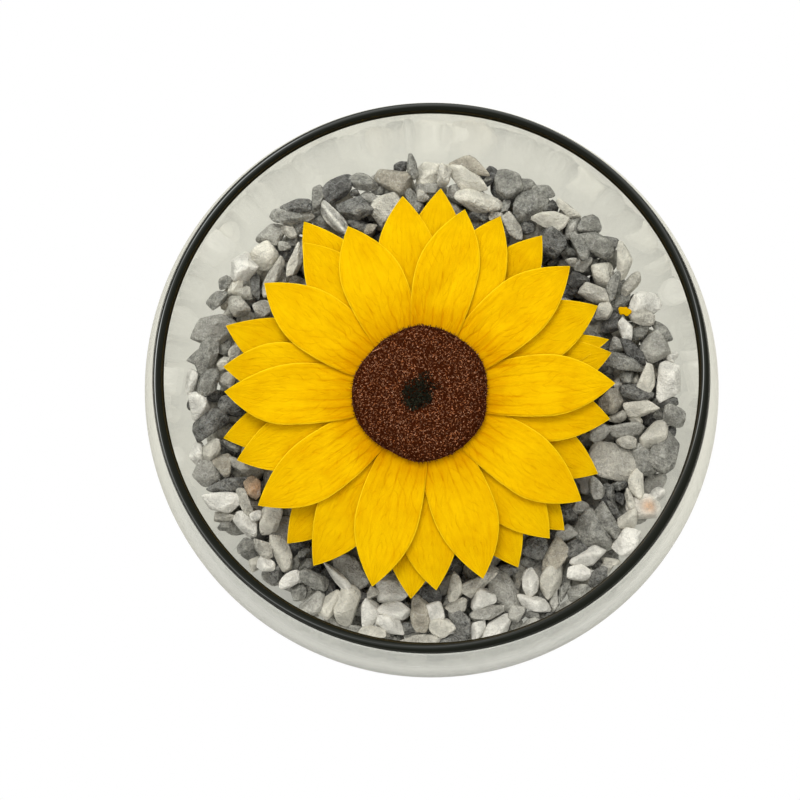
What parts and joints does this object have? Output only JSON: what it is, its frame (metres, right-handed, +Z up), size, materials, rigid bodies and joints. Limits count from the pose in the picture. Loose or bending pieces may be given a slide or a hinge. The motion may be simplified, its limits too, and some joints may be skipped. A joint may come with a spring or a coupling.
{
  "type": "flower head in a glass bowl vase",
  "caption": "Preserved sunflower head resting on grey and white marble chippings in a low, wide-mouthed bubble bowl of clear glass, for a table or shelf.",
  "frame": {"origin": "centre of the bowl's underside, on the surface that it stands on", "axes": "+Z up along the bowl's axis; seen from above, +X is to the right and +Y to the top of the picture"},
  "size_m": [0.18, 0.18, 0.108],
  "materials": {
    "clear_glass": "clear blown glass, fire-polished rim",
    "marble": "crushed marble, matt, mixed white to blue-grey",
    "green_stem": "matt, finely haired",
    "outer_yellow": "dry petal, satin",
    "middle_yellow": "dry petal, satin",
    "inner_yellow": "dry petal, satin",
    "brown_florets": "matt, curled dry florets",
    "dark_florets": "matt, tight florets"
  },
  "bodies": {
    "root": {"vase": "clear_glass", "gravel": "marble", "flower_back": "green_stem", "outer_petals": "outer_yellow", "middle_petals": "middle_yellow", "inner_petals": "inner_yellow", "disc_florets": "brown_florets", "disc_centre": "dark_florets"}
  },
  "joints": []
}
